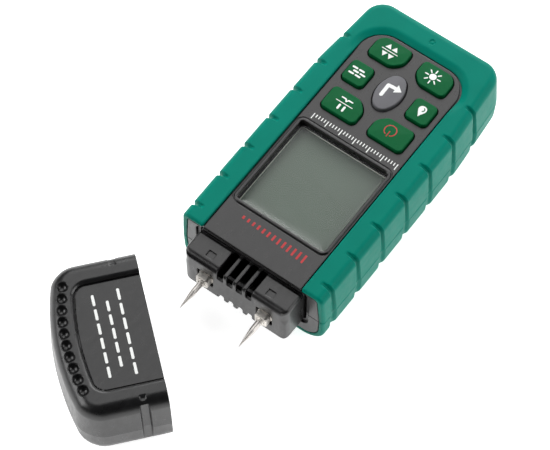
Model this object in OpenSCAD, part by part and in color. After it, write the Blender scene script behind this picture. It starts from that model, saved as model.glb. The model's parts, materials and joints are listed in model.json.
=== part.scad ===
// Pin-type moisture meter with a pull-off protective cap.
// Millimetres, +Z up. The nose and its two pins point to -X.
// The origin is on the flat back that the meter rests on, under the middle of the display.
// The cap lies beside the nose; cap_turn carries it round to the place where it is fitted.

/* [Body] */
// Length of the body, from the end face at the nose to the far end
body_l = 114; // [112:1:116]
// Width of the body at its parting line
body_w = 61; // [61:1:62]
// Height of the green rim above the back
rim_z = 31.6; // [31.6:0.2:32.4]
// Height of the dark front panel above the back
panel_z = 31; // [30.5:0.1:31]
// Height of the parting line between the two halves
split_z = 16; // [15.5:0.5:16.5]
// Width of the dark front panel
panel_w = 41; // [40:0.5:42]
// Length of the dark front panel
panel_l = 101.5; // [101:0.5:102]
// Radius of the body's far corners, seen from above
corner_r = 10; // [9.5:0.5:12]

/* [Walls] */
// Thickness of the soft skin over the casings
skin_t = 2.4; // [2.2:0.1:2.6]
// Wall thickness of the casings
wall = 1.8; // [1.6:0.1:2]

/* [Grip grooves] */
// Number of grooves along each side
grooves = 7; // [5:1:7]
// Distance between neighbouring grooves
groove_pitch = 14.35; // [14:0.05:14.5]
// Depth of a groove
groove_d = 1.3; // [0.8:0.1:1.4]

/* [Display] */
// Distance from the nose end face to the window
window_x = 16; // [15:0.5:17]
// Length of the window
window_l = 38.4; // [37:0.2:39]
// Width of the window
window_w = 37.1; // [36:0.1:37.5]

/* [Keys] */
// How far a key goes down when it is pressed
key_travel = 0.8; // [0.5:0.1:0.8]
// How far the keys stand above the panel
key_rise = 1.6; // [1.2:0.1:1.8]

/* [Nose and pins] */
// How far the nose block stands out of the body
nose_l = 10.5; // [9.5:0.5:11]
// Width of the nose block
nose_w = 44; // [43:0.5:46]
// Distance between the two pins
pin_gap = 25; // [24:0.5:26]
// Length of a pin that stands out of its nut
pin_out = 11.5; // [10:0.5:12]

/* [Cap] */
// Length of the cap along its middle
cap_l = 34; // [33:0.5:35]
// Turn of the cap from where it is fitted to where it lies
cap_turn = 40.4; // [0:0.1:40.4]

/* [Hidden] */
$fn = 48;

near_x = -window_x - window_l / 2;  // end face at the nose
far_x = near_x + body_l;       // far end
seam = 0.05;                   // half of the hairline gap between two mating halves
bottom_r = 7;                  // radius of the rear half's lower edges
rim_r = 3;                     // radius of the green rim's outer edge
near_r = 2;                    // corner radius at the nose end, seen from above
core_w = body_w - 2 * skin_t;  // width of the casings under the skin
core_far = far_x - skin_t;
core_r = corner_r - skin_t;
shoulder_z = rim_z - 1.6;      // top of the front casing beside its panel
roof_z = panel_z - 2;          // underside of the panel
groove_r = 2.2;                // rounding of a groove's bottom on the body's side
rim_groove_r = 1.1;            // the same where it runs onto the rim
rim_groove_d = 0.7;
groove_first = 6;              // from the nose end face to the first groove

nose_z0 = 10;                  // underside of the nose block
nose_z1 = 28.5;                // top of the nose block
nose_x = near_x - nose_l;      // front of the nose block
pin_z = 18;
pin_r = 1.2;
vent_w = 2.6;
vent_pitch = 4;

key_top = panel_z + key_rise;
key_gap = 0.35;                // between a key and its opening
flange_z = roof_z - 0.2;       // top of a key's hidden flange
board_z = 21;                  // underside of the circuit board
board_t = 1.6;
mat_z = board_z + board_t;
stud_h = 2.4;                  // height of the keypad mat's studs
stem_z = mat_z + stud_h + key_travel + 0.1;  // foot of a key's stem, just short of the stud when pressed

cell_r = 5.2;
cell_l = 44.5;
cell_pitch = 11.2;
cell_z = 7.4;
bay_x0 = 11.5;                 // battery bay, inside
bay_x1 = 62.5;
bay_w = 35;
bay_z = 13.4;                  // roof of the battery bay
bay_mid = (bay_x0 + bay_x1) / 2;
door_l = bay_x1 - bay_x0 + 2;
door_w = bay_w + 2;
door_gap = 0.3;
door_z = 0.2;                  // the door lies just above the plane of the back
door_t = 2;
door_x0 = bay_x0 - 1;          // near edge of the door, the line that it tilts about
floor_t = 2;                   // thickness of the rear casing's floor
back_x0 = near_x + 2.5;        // flat back
back_x1 = far_x - 5.3;
back_w = 45;

screw_x = [near_x + 8.5, far_x - 9];
screw_y = 18.2;
post_r = 4.2;                  // posts of the rear casing round the screws
post_z = 3.6;                  // height at which they are clear of the skin

cap_gap = 0.2;                 // between the fitted cap and the body
cap_x = near_x - cap_gap;      // mouth of the fitted cap
cap_wall = 2;
cap_end_r = 90;                // radius of the cap's bowed end, seen from above
pole = [near_x - 3.74, 59.4, 0];  // upright line that the cap is carried round

// ---------------------------------------------------------------- shared shapes

// Outline w wide and h high, standing on its base, with the two upper corners rounded
module arch(w, h, r) {
    translate([-w / 2, 0]) square([w, h - r]);
    translate([-w / 2 + r, 0]) square([w - 2 * r, h]);
    for (s = [-1, 1]) {
        translate([s * (w / 2 - r), h - r]) circle(r);
    }
}

// Half of an arch, for turning a corner or an end
module half_arch(w, h, r) {
    difference() {
        square([w, h]);
        translate([w - r, h - r]) difference() {
            square(r + 1);
            circle(r);
        }
    }
}

// Block from x0 to x1 with upright far corners of radius rc and upper edges of radius rt.
// The near end is cut off square.
module shell_block(x0, x1, w, h, rc, rt) {
    translate([x0, 0, 0]) rotate([90, 0, 90]) linear_extrude(x1 - rc - x0) arch(w, h, rt);
    translate([x1 - rc, 0, 0]) rotate([90, 0, 0])
        linear_extrude(w - 2 * rc, center = true) half_arch(rc, h, rt);
    for (s = [-1, 1]) {
        translate([x1 - rc, s * (w / 2 - rc), 0]) rotate_extrude() half_arch(rc, h, rt);
    }
}

// The same block hung below z = 0, with its lower edges rounded
module shell_block_down(x0, x1, w, h, rc, rt) {
    mirror([0, 0, 1]) shell_block(x0, x1, w, h, rc, rt);
}

// Flat plate with four rounded corners, centred on x and y
module plate(l, w, h, r) {
    translate([-l / 2 + r, -w / 2, 0]) cube([l - 2 * r, w, h]);
    translate([-l / 2, -w / 2 + r, 0]) cube([l, w - 2 * r, h]);
    for (i = [-1, 1]) {
        for (j = [-1, 1]) {
            translate([i * (l / 2 - r), j * (w / 2 - r), 0]) cylinder(h = h, r = r);
        }
    }
}

// Two nibs that round the upright corners of the nose end with radius r
module near_corner_cut(x, w, r) {
    for (s = [-1, 1]) {
        difference() {
            translate([x - 1, s > 0 ? w / 2 - r : -w / 2 - 1, -1]) cube([r + 1, r + 1, rim_z + 3]);
            translate([x + r, s * (w / 2 - r), -2]) cylinder(h = rim_z + 5, r = r);
        }
    }
}

// Upright grip grooves at the given x places, on both sides, running up onto the rim
module groove_cut(places) {
    for (x = places) {
        for (s = [-1, 1]) {
            translate([x, s * (body_w / 2 + groove_r - groove_d), -1])
                cylinder(h = rim_z + 2, r = groove_r);
            translate([x, s * (body_w / 2 - 1.5), rim_z + rim_groove_r - rim_groove_d])
                rotate([90, 0, 0]) cylinder(h = 7, r = rim_groove_r, center = true);
        }
    }
}

body_grooves = [for (i = [0 : grooves - 1]) near_x + groove_first + i * groove_pitch];

// ---------------------------------------------------------------- keys

// name, x from the nose end face, y, length, width, corner cut (x side, y side) or 0
key_list = [
    ["key_max_min", 94.8, 9.4, 9.6, 13.6, -1, -1],
    ["key_light", 94.8, -9.4, 9.6, 13.6, -1, 1],
    ["key_material", 81, 13.6, 9.2, 8.8, 0, 0],
    ["key_unit", 81, -13.6, 9.2, 8.8, 0, 0],
    ["key_hold", 67.6, 9.9, 9.8, 14.4, 1, -1],
    ["key_power", 67.6, -9.9, 9.8, 14.4, 1, 1]
];
select_x = 81;
select_l = 15.6;
select_w = 9.8;
select_end_r = 3.6;            // radius of the oval key's ends
select_end_x = select_l / 2 - select_end_r;
// radius of the oval key's long sides, which run smoothly into its ends
select_side_r = (pow(select_end_x, 2) + pow(select_w / 2, 2) - pow(select_end_r, 2))
    / (select_w - 2 * select_end_r);

// Outline of one green key, grown by g: a rounded rectangle, clipped next to the oval key.
// The two far keys follow the panel's large round corners.
module key_outline(k, g) {
    l = k[3] + 2 * g;
    w = k[4] + 2 * g;
    r = 1.8 + g;
    far_r = 4 + g;
    clip = 3.4;
    side = k[2] > 0 ? 0 : 1;
    translate([near_x + k[1], k[2]]) difference() {
        union() {
            square([l - 2 * r, w], center = true);
            square([l, w - 2 * r], center = true);
            for (i = [-1, 1]) {
                for (j = [-1, 1]) {
                    translate([i * (l / 2 - r), j * (w / 2 - r)]) circle(r);
                }
            }
        }
        if (k[5] != 0) {
            translate([k[5] * l / 2, k[6] * w / 2]) rotate(45)
                square(clip * sqrt(2) - g, center = true);
        }
        if (k[5] < 0) {
            mirror([0, side]) translate([l / 2 - far_r, w / 2 - far_r]) difference() {
                square(far_r + 1);
                circle(far_r);
            }
        }
    }
}

// Outline of the oval key, grown by g: two round ends and two flatter arcs between them
module select_outline(g) {
    end_r = select_end_r + g;
    side_r = select_side_r + g;
    shift = select_side_r - select_w / 2;
    join_x = select_end_x * (1 + end_r / (select_side_r - select_end_r));
    translate([near_x + select_x, 0]) {
        for (s = [-1, 1]) {
            translate([s * select_end_x, 0]) circle(end_r);
        }
        intersection() {
            translate([0, -shift]) circle(side_r);
            translate([0, shift]) circle(side_r);
            square([2 * join_x, select_w + 4], center = true);
        }
    }
}

// One green key: cap, hidden flange and stem
module green_key(i) {
    k = key_list[i];
    color("#146e3c") {
        translate([0, 0, flange_z]) linear_extrude(key_top - flange_z) key_outline(k, 0);
        translate([near_x + k[1], k[2], flange_z - 1]) plate(k[3] + 1.4, k[4] + 1.4, 1, 1.5);
        translate([near_x + k[1], k[2], stem_z]) cylinder(h = flange_z - stem_z, r = 2.2);
    }
}

module key_max_min() { green_key(0); }
module key_light() { green_key(1); }
module key_material() { green_key(2); }
module key_unit() { green_key(3); }
module key_hold() { green_key(4); }
module key_power() { green_key(5); }

module key_select() {
    color("#6e6e73") {
        translate([0, 0, flange_z]) linear_extrude(key_top - flange_z) select_outline(0);
        translate([near_x + select_x, 0, flange_z - 1]) plate(select_l + 0.6, select_w + 0.6, 1, 4);
        translate([near_x + select_x, 0, stem_z]) cylinder(h = flange_z - stem_z, r = 2.2);
    }
}

module keypad_mat() {
    color("#c8c8c0") {
        translate([near_x + 81, 0, mat_z]) plate(36, 33.8, 0.8, 3);
        for (k = key_list) {
            translate([near_x + k[1], k[2], mat_z]) cylinder(h = stud_h, r = 3);
        }
        translate([near_x + select_x, 0, mat_z]) cylinder(h = stud_h, r = 3);
    }
}

// ---------------------------------------------------------------- casings and skins

// Plate in the outline of the flat back, grown by g, from height z
module back_plate(z, h, g) {
    translate([(back_x0 + back_x1) / 2, 0, z]) plate(back_x1 - back_x0 + 2 * g, back_w + 2 * g, h, 6 + g);
}

module front_casing() {
    h = shoulder_z - split_z - seam;
    color("#504e4e") difference() {
        union() {
            translate([0, 0, split_z + seam])
                shell_block(near_x, core_far - seam, core_w - 2 * seam, h, core_r, 1.5);
            // the raised panel between the green rims
            translate([0, 0, split_z + seam]) linear_extrude(panel_z - split_z - seam) panel_outline(0);
            // lip round the window
            translate([0, 0, panel_z - 0.5])
                plate(window_l + 2.4, window_w + 2.4, 0.9, 2.4);
        }
        // hollow inside
        translate([0, 0, split_z - 1]) shell_block(near_x + wall, core_far - seam - wall,
            core_w - 2 * seam - 2 * wall, roof_z - split_z + 1, core_r - wall, 1);
        // window
        translate([0, 0, roof_z - 1]) plate(window_l, window_w, 5, 1.4);
        // key openings
        for (k = key_list) {
            translate([0, 0, roof_z - 1]) linear_extrude(5) key_outline(k, key_gap);
        }
        translate([0, 0, roof_z - 1]) linear_extrude(5) select_outline(key_gap);
        // doorway for the nose block, and the sunk surround that the cap's mouth meets
        translate([near_x - 1, -nose_w / 2 - 0.2, split_z - 1])
            cube([wall + 2, nose_w + 0.4, nose_z1 + 1.2 - split_z]);
        translate([near_x - 1, -nose_w / 2 - 2, split_z - 1])
            cube([1.9, nose_w + 4, nose_z1 + 2.2 - split_z]);
    }
    color("#504e4e") casing_posts();
}

// Outline of the panel, grown by g: square at the nose end, large round corners at the far end
module panel_outline(g) {
    r = 9.5;
    x1 = near_x + panel_l;
    w = panel_w + 2 * g;
    translate([near_x, -w / 2]) square([panel_l - r, w]);
    translate([near_x, -w / 2 + r]) square([panel_l + g, w - 2 * r]);
    for (s = [-1, 1]) {
        translate([x1 + g - r, s * (w / 2 - r)]) circle(r);
    }
}

// Posts inside the front casing that take the casing screws
module casing_posts() {
    for (x = screw_x) {
        for (s = [-1, 1]) {
            translate([x, s * screw_y, split_z + seam]) difference() {
                cylinder(h = roof_z - split_z - seam, r = 3.2);
                translate([0, 0, -1]) cylinder(h = 10, r = 1.45);
            }
        }
    }
}

module front_skin() {
    color("#0b8a72") difference() {
        translate([0, 0, split_z + seam])
            shell_block(near_x, far_x, body_w, rim_z - split_z - seam, corner_r, rim_r);
        translate([0, 0, split_z - 1])
            shell_block(near_x - 1, core_far, core_w, shoulder_z + seam - split_z + 1, core_r, 1.5);
        translate([-1, 0, split_z - 1]) linear_extrude(20) panel_outline(seam);
        translate([0, 0, split_z - 1]) linear_extrude(20) panel_outline(seam);
        groove_cut(body_grooves);
        near_corner_cut(near_x, body_w, near_r);
        // shallow round pip on the far rim
        translate([far_x - 5.5, 0, rim_z - 0.3]) cylinder(h = 1, r = 1.1);
    }
}

module rear_casing() {
    z1 = split_z - seam;
    color("#4a4848") difference() {
        union() {
            difference() {
                union() {
                    translate([0, 0, z1]) shell_block_down(near_x, core_far - seam, core_w - 2 * seam,
                        z1 - 0.4 - skin_t, core_r, bottom_r - skin_t);
                    // flat back that the meter rests on, between the skin's lower edges
                    back_plate(0, 4, 0);
                }
                translate([0, 0, z1 + 1]) shell_block_down(near_x + wall, core_far - seam - wall,
                    core_w - 2 * seam - 2 * wall, z1 + 1 - 0.4 - skin_t - wall, core_r - wall, 3);
                back_plate(floor_t, 6, -2);
            }
            // battery bay walls and roof
            translate([bay_mid, 0, 1]) plate(bay_x1 - bay_x0 + 3, bay_w + 3, bay_z + 0.4, 1.5);
            // posts for the casing screws, standing on the flat back
            for (x = screw_x) {
                for (s = [-1, 1]) {
                    translate([x, s * screw_y, post_z]) cylinder(h = z1 - post_z, r = post_r);
                    intersection() {
                        translate([x, s * screw_y, 1]) cylinder(h = 3, r = post_r);
                        back_plate(0, 4, 0);
                    }
                }
            }
        }
        // battery bay
        translate([bay_x0, -bay_w / 2, -1]) cube([bay_x1 - bay_x0, bay_w, bay_z + 1]);
        // rebate for the door
        translate([bay_mid, 0, -1])
            plate(door_l + 2 * door_gap, door_w + 2 * door_gap, 1 + door_z + door_t + door_gap, 1);
        // pockets for the door's tongues
        for (s = [-1, 1]) {
            translate([door_x0 - 5, s * 10 - 3.4, floor_t]) cube([7, 6.8, 4]);
        }
        // screw holes, sunk from the back
        for (x = screw_x) {
            for (s = [-1, 1]) {
                translate([x, s * screw_y, -1]) cylinder(h = 5, r = 3.1);
                translate([x, s * screw_y, -1]) cylinder(h = 20, r = 1.6);
            }
        }
        // doorway for the nose block
        translate([near_x - 1, -nose_w / 2 - 0.2, nose_z0 - 0.2]) cube([wall + 2, nose_w + 0.4, 10]);
        translate([near_x - 1, -nose_w / 2 - 2, nose_z0 - 1.6]) cube([1.9, nose_w + 4, 10]);
    }
}

module rear_skin() {
    z1 = split_z - seam;
    color("#0b8a72") difference() {
        translate([0, 0, z1]) shell_block_down(near_x, far_x, body_w, z1 - 0.4, corner_r, bottom_r);
        translate([0, 0, z1 + 1]) shell_block_down(near_x - 1, core_far, core_w,
            z1 + 1 + seam - 0.4 - skin_t, core_r, bottom_r - skin_t);
        // the flat back shows between the lower edges
        back_plate(-1, 6, seam);
        groove_cut(body_grooves);
        near_corner_cut(near_x, body_w, near_r);
    }
}

// ---------------------------------------------------------------- nose and pins

module nose_block() {
    r = 3.5;
    color("#555353") difference() {
        union() {
            // nose, rounded below and slightly along its upper edges
            translate([nose_x, 0, 0]) rotate([90, 0, 90]) linear_extrude(nose_l + 4)
                nose_section(nose_w, nose_z0, nose_z1, r, 1.2);
            // flange inside the casings
            translate([near_x + wall + 0.2, 0, 0]) rotate([90, 0, 90]) linear_extrude(2)
                nose_section(nose_w + 4, nose_z0 - 2, roof_z - 0.1, r, 1.2);
        }
        // chamber for the air sensor, open to the inside of the body
        translate([nose_x + 1.6, -8.4, nose_z0 + 2]) cube([nose_l + 10, 16.8, nose_z1 - nose_z0 - 4]);
        // vent slots, from the top and over the front edge
        for (i = [-1.5 : 1 : 1.5]) {
            translate([nose_x - 1, i * vent_pitch - vent_w / 2, nose_z1 - 5]) cube([nose_l - 0.2, vent_w, 6]);
        }
        // pockets round the nuts
        for (s = [-1, 1]) {
            translate([nose_x - 1, s * pin_gap / 2 - 3.6, pin_z - 3.6]) cube([2.6, 7.2, 8]);
            translate([nose_x, s * pin_gap / 2, pin_z]) rotate([0, 90, 0]) cylinder(h = 30, r = 3.05);
            translate([nut_x + 11.9, s * pin_gap / 2, pin_z]) rotate([0, 90, 0]) cylinder(h = 5, r = 4.05);
        }
        // two small snap recesses for the cap
        for (s = [-1, 1]) {
            translate([near_x - 6 - 1.2, s * 12.6 - 1.5, nose_z1 - 0.5]) cube([2.4, 3, 1]);
        }
    }
}

// Section of the nose: w wide, from z0 to z1, lower corners of radius r, upper corners of radius t
module nose_section(w, z0, z1, r, t) {
    translate([-w / 2, z0 + r]) square([w, z1 - z0 - r - t]);
    translate([-w / 2 + r, z0]) square([w - 2 * r, r + 1]);
    translate([-w / 2 + t, z1 - t - 1]) square([w - 2 * t, t + 1]);
    for (s = [-1, 1]) {
        translate([s * (w / 2 - r), z0 + r]) circle(r);
        translate([s * (w / 2 - t), z1 - t]) circle(t);
    }
}

nut_x = nose_x + 1;      // where a nut sits on its socket
nut_t = 3.4;
nut_w = 5;

// One electrode: threaded root, collar in the nut and a slender needle
module pin(s) {
    color("#b4b4b8") translate([0, s * pin_gap / 2, pin_z]) rotate([0, -90, 0]) {
        translate([0, 0, -nut_x - 6]) cylinder(h = nut_t + 6.2, r = pin_r);
        translate([0, 0, -nut_x + nut_t + 0.2]) rotate_extrude()
            polygon([[0, 0], [pin_r, 0], [0.95, 1.2], [0.12, pin_out - 0.2], [0, pin_out]]);
    }
}

module pin_left() { pin(1); }
module pin_right() { pin(-1); }

module pin_nuts() {
    color("#cdcdd0") for (s = [-1, 1]) {
        translate([nut_x - nut_t, s * pin_gap / 2, pin_z]) rotate([0, 90, 0]) difference() {
            intersection() {
                translate([-nut_w / 2, -nut_w / 2, 0]) cube([nut_w, nut_w, nut_t]);
                cylinder(h = nut_t, r = nut_w * 0.62);
            }
            translate([0, 0, -1]) cylinder(h = nut_t + 2, r = pin_r + 0.02);
        }
    }
}

module pin_sockets() {
    color("#b8963c") for (s = [-1, 1]) {
        translate([nut_x, s * pin_gap / 2, pin_z]) rotate([0, 90, 0]) difference() {
            union() {
                cylinder(h = 12, r = 3);
                translate([0, 0, 12]) cylinder(h = 1.5, r = 4);
            }
            translate([0, 0, -1]) cylinder(h = 8, r = pin_r + 0.02);
        }
    }
}

// Bent strips that carry each socket's signal up to the board
module socket_straps() {
    x0 = nut_x + 13.5;
    color("#c8a050") for (s = [-1, 1]) {
        translate([x0, s * pin_gap / 2 - 2, pin_z - 2.5]) cube([0.5, 4, board_z - pin_z + 2.5]);
        translate([x0, s * pin_gap / 2 - 2, board_z - 0.5]) cube([6, 4, 0.5]);
    }
}

module air_sensor() {
    color("#2f6b3a") translate([nose_x + 3, -6, nose_z0 + 4]) cube([1, 12, 9]);
    color("#dddddd") translate([nose_x + 4, -2, nose_z0 + 6]) cube([1.6, 4, 4]);
}

// ---------------------------------------------------------------- display

module display_lens() {
    color([0.8, 0.85, 0.85, 0.4]) translate([0, 0, roof_z - 1.2])
        plate(window_l + 3, window_w + 3, 1.2, 1.5);
}

module lcd_glass() {
    color("#6b766b") translate([0, 0, 25.2]) plate(window_l + 1, window_w + 1, 2, 0.5);
}

module lcd_frame() {
    color("#d8d8d4") difference() {
        translate([0, 0, mat_z]) plate(window_l + 5, window_w + 5, roof_z - 1.3 - mat_z, 1);
        translate([0, 0, mat_z - 1]) plate(window_l + 1.2, window_w + 1.2, 10, 0.5);
    }
}

module backlight_panel() {
    color("#f0f0e8") translate([0, 0, 23]) plate(window_l - 1, window_w - 5, 2, 0.5);
}

module lcd_connector() {
    color("#c87896") for (s = [-1, 1]) {
        translate([-window_l / 2 + 1, s * (window_w / 2 - 1) - 0.75, mat_z])
            cube([window_l - 2, 1.5, 25.2 - mat_z]);
    }
}

// ---------------------------------------------------------------- circuit board

board_x0 = near_x + 6;
board_x1 = core_far - 5;

module main_board() {
    l = board_x1 - board_x0;
    color("#2d7a46") difference() {
        translate([(board_x0 + board_x1) / 2, 0, board_z]) plate(l, 46, board_t, 3);
        for (x = screw_x) {
            for (s = [-1, 1]) {
                translate([x, s * screw_y, board_z - 1]) cylinder(h = 4, r = 3.5);
            }
        }
    }
}

module controller_chip() {
    color("#202020") translate([-8, -6, board_z - 1.6]) cube([12, 12, 1.6]);
}

module display_driver() {
    color("#202020") translate([16, 8, board_z - 1.4]) cube([10, 7, 1.4]);
}

module clock_crystal() {
    color("#c8c8cc") translate([8, -12, board_z - 1.6]) rotate([0, 90, 0]) cylinder(h = 6, r = 1.5);
}

module buzzer() {
    color("#181818") translate([-12, 14, board_z - 4]) cylinder(h = 4, r = 4.5);
}

// Short screws that hold the board up against the front casing's ribs
module board_screws() {
    color("#b0b0b4") for (p = [[4, 20.3], [4, -20.3], [52, 20.3], [52, -20.3]]) {
        translate([p[0], p[1], board_z - 1.2]) cylinder(h = 1.2, r = 2.2);
    }
}

// ---------------------------------------------------------------- batteries

plate_t = 0.4;                 // thickness of the contact plates
cell_end = bay_x1 - 0.6;       // where a cell's raised contact meets its plate
spring_l = cell_end - cell_l - bay_x0 - plate_t - 0.3;

// Turns what belongs to cell i round, so that the middle cell lies the other way
module bay_place(i) {
    translate([bay_mid, (i - 1) * cell_pitch, cell_z]) rotate([0, 0, i == 1 ? 180 : 0])
        translate([-bay_mid, 0, 0]) children();
}

module cell(i) {
    color("#c46a28") bay_place(i) translate([cell_end - cell_l, 0, 0]) rotate([0, 90, 0]) {
        cylinder(h = cell_l - 1, r = cell_r);
        cylinder(h = cell_l, r = 1.9);
    }
}

module battery_cell_1() { cell(0); }
module battery_cell_2() { cell(1); }
module battery_cell_3() { cell(2); }

// Conical springs, each drawn as its closed turns
module battery_springs() {
    turns = 6;
    wire_r = 0.5;
    pitch = (spring_l - 2 * wire_r) / (turns - 1);
    color("#c0c0c4") for (i = [0 : 2]) {
        bay_place(i) translate([cell_end - cell_l - 0.1, 0, 0]) rotate([0, -90, 0]) rotate_extrude()
            for (k = [0 : turns - 1]) {
                translate([1.7 + k * 0.34, wire_r + k * pitch]) circle(wire_r);
            }
    }
}

// Nickelled plates at both ends of the bay
module battery_plates() {
    color("#c0c0c4") {
        for (x = [bay_x0 + 0.1, bay_x1 - 0.1 - plate_t]) {
            translate([x, -cell_pitch - 4.5, 4.2]) cube([plate_t, 2 * cell_pitch + 9, 8]);
        }
    }
}

module battery_door() {
    color("#484646") difference() {
        union() {
            translate([bay_mid, 0, door_z]) plate(door_l, door_w, door_t, 1);
            // tongues that hook over the edge of the floor
            for (s = [-1, 1]) {
                translate([door_x0 - 3.5, s * 10 - 3, floor_t + 0.3]) cube([4.4, 6, 1.2]);
                translate([door_x0, s * 10 - 3, door_z + 1]) cube([0.9, 6, 2.3]);
            }
        }
        // finger hollow beside the latch
        translate([bay_x1 - 4, 0, -6.6]) rotate([90, 0, 0]) cylinder(h = 14, r = 8, center = true);
    }
}

module casing_screws() {
    color("#a8a8ac") for (x = screw_x) {
        for (s = [-1, 1]) {
            translate([x, s * screw_y, 0]) difference() {
                union() {
                    translate([0, 0, 2]) cylinder(h = 2, r = 2.8);
                    translate([0, 0, 4]) cylinder(h = 19, r = 1.4);
                }
                // cross recess
                translate([-1.6, -0.35, 1.5]) cube([3.2, 0.7, 1.7]);
                translate([-0.35, -1.6, 1.5]) cube([0.7, 3.2, 1.7]);
            }
        }
    }
}

// ---------------------------------------------------------------- cap

// The fitted cap's outer form, drawn with its mouth at x = 0 and its end towards +X
module cap_body(l, w, z0, z1, rb, rt, rc) {
    intersection() {
        union() {
            translate([0, 0, split_z]) shell_block(0, l, w, z1 - split_z, rc, rt);
            translate([0, 0, split_z]) shell_block_down(0, l, w, split_z - z0, rc, rb);
        }
        translate([l - cap_end_r, 0, -1]) cylinder(h = rim_z + 4, r = cap_end_r, $fn = 96);
    }
}

module fitted_cap() {
    panel_end = 25;
    panel_end_r = 100;
    dimples = 10;
    dimple_arc_r = 78;
    dimple_x = 29.2;
    dimple_step = 3.24;
    difference() {
        cap_body(cap_l, body_w, 0, rim_z, bottom_r, rim_r, 10);
        // hollow for the nose and pins
        translate([-0.01, 0, 0]) cap_body(cap_l - 2.5, body_w - 2 * cap_wall, 2.2, roof_z, 5, 1.5, 8);
        translate([-5, -body_w / 2 + 5, 2.2 + 3]) cube([6, body_w - 10, 20]);
        // sunk panel on top
        intersection() {
            translate([-1, -panel_w / 2, panel_z]) cube([panel_end + 2, panel_w, 5]);
            translate([panel_end - panel_end_r, 0, panel_z - 1]) cylinder(h = 8, r = panel_end_r, $fn = 96);
        }
        // arc of round dimples along the end
        for (i = [0 : dimples - 1]) {
            a = (i - (dimples - 1) / 2) * dimple_step;
            translate([dimple_x - dimple_arc_r + dimple_arc_r * cos(a), dimple_arc_r * sin(a), rim_z + 0.8])
                sphere(r = 2);
        }
        groove_cut([groove_pitch - groove_first]);
    }
}

module cap_shell() {
    color("#484848") translate(pole) rotate([0, 0, -cap_turn]) translate(-pole)
        translate([cap_x, 0, 0]) mirror([1, 0, 0]) fitted_cap();
}

// ---------------------------------------------------------------- the part

front_casing();
front_skin();
rear_casing();
rear_skin();
nose_block();
pin_left();
pin_right();
pin_nuts();
pin_sockets();
socket_straps();
air_sensor();
display_lens();
lcd_glass();
lcd_frame();
backlight_panel();
lcd_connector();
main_board();
controller_chip();
display_driver();
clock_crystal();
buzzer();
board_screws();
keypad_mat();
key_max_min();
key_light();
key_material();
key_unit();
key_hold();
key_power();
key_select();
battery_cell_1();
battery_cell_2();
battery_cell_3();
battery_springs();
battery_plates();
battery_door();
casing_screws();
cap_shell();
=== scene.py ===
"""Looks of a pin-type moisture meter and its pull-off cap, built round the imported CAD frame.

Moulded shapes are signed distance fields: functions of x, y, z in millimetres that are negative
inside the piece. solid() turns a field into a closed quad mesh that lies on its zero surface.
Rounded edges come from round_max() and round_min(), which join fields with a fillet.
Frame: the nose points to -X, +Z is out of the front panel, and the back lies on z = 0.
"""

import json
import math

import bpy
import numpy as np
from mathutils import Matrix, Quaternion, Vector


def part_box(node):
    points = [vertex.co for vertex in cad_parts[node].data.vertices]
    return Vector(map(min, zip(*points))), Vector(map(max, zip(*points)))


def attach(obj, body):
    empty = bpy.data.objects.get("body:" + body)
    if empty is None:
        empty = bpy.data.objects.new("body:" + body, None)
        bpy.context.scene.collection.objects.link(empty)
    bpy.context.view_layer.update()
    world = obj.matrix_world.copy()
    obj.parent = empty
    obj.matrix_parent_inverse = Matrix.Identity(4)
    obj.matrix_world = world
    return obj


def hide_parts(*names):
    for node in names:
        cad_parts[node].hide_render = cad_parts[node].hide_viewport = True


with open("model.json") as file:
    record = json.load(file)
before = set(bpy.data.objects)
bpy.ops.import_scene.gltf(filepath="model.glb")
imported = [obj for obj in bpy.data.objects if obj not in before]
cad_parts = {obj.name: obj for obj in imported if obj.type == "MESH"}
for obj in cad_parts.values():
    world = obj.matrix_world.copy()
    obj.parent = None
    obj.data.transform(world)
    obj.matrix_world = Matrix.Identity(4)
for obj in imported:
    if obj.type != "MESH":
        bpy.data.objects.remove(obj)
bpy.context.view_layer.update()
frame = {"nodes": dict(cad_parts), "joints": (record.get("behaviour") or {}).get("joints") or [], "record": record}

MM = 0.001


def box_mm(node):
    """Lowest and highest corner of a CAD node in millimetres."""
    return [np.array(corner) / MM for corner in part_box(node)]


# ------------ sizes, in millimetres

skin_low, skin_high = box_mm("front_skin")
casing_high = box_mm("front_casing")[1]
rear_low, rear_high = box_mm("rear_skin")
door_low, door_high = box_mm("battery_door")
lens_low, lens_high = box_mm("display_lens")

SEAM = 0.08                                  # half of the hairline gap between two halves
NEAR_X, FAR_X = skin_low[0], skin_high[0]    # end face at the nose, and the far end
HALF_W = skin_high[1]                        # half width of the body at the parting line
RIM_Z = skin_high[2]
SPLIT_Z = (skin_low[2] + rear_high[2]) / 2
SKIN_BOTTOM = rear_low[2]
LIP_H = 0.4
PANEL_Z = casing_high[2] - LIP_H
ROOF_Z = lens_high[2]                        # underside of the panel
SKIN_T = 2.4
WALL = 1.8
CORE_HALF = HALF_W - SKIN_T
CORE_FAR = FAR_X - SKIN_T
CORNER_R, NEAR_R, BOTTOM_R, RIM_R = 8, 1.5, 9.5, 3.0
CORE_R = CORNER_R - SKIN_T
SHOULDER_Z = RIM_Z - 1.6
PANEL_HALF = 20.5
PANEL_FAR = NEAR_X + 101.5
PANEL_R = 9.5
DRAFT_UP, DRAFT_DOWN = 0.07, 0.045           # lean of the sides above and below the parting line
TAPER_X, TAPER = NEAR_X + 82, 0.078          # from here on the sides run inwards by this slope
TAPER_LEAD, TAPER_SOFT = 4, 3                # how far before, and how softly, the slope sets in
BELLY_X, BELLY_HALF, BELLY = NEAR_X + 42, 50, 0.35    # the sides bow out a little about here

GROOVE_FIRST, GROOVE_PITCH, GROOVES = 6, 14.35, 7
GROOVE_DEPTH, GROOVE_RIM_DEPTH = 1.3, 0.6
GROOVE_HALF, GROOVE_REAR_HALF, GROOVE_RIM_HALF = 1.55, 2.1, 1.0
GROOVE_END_Y = 24.4                          # where a groove fades out on the rim

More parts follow.
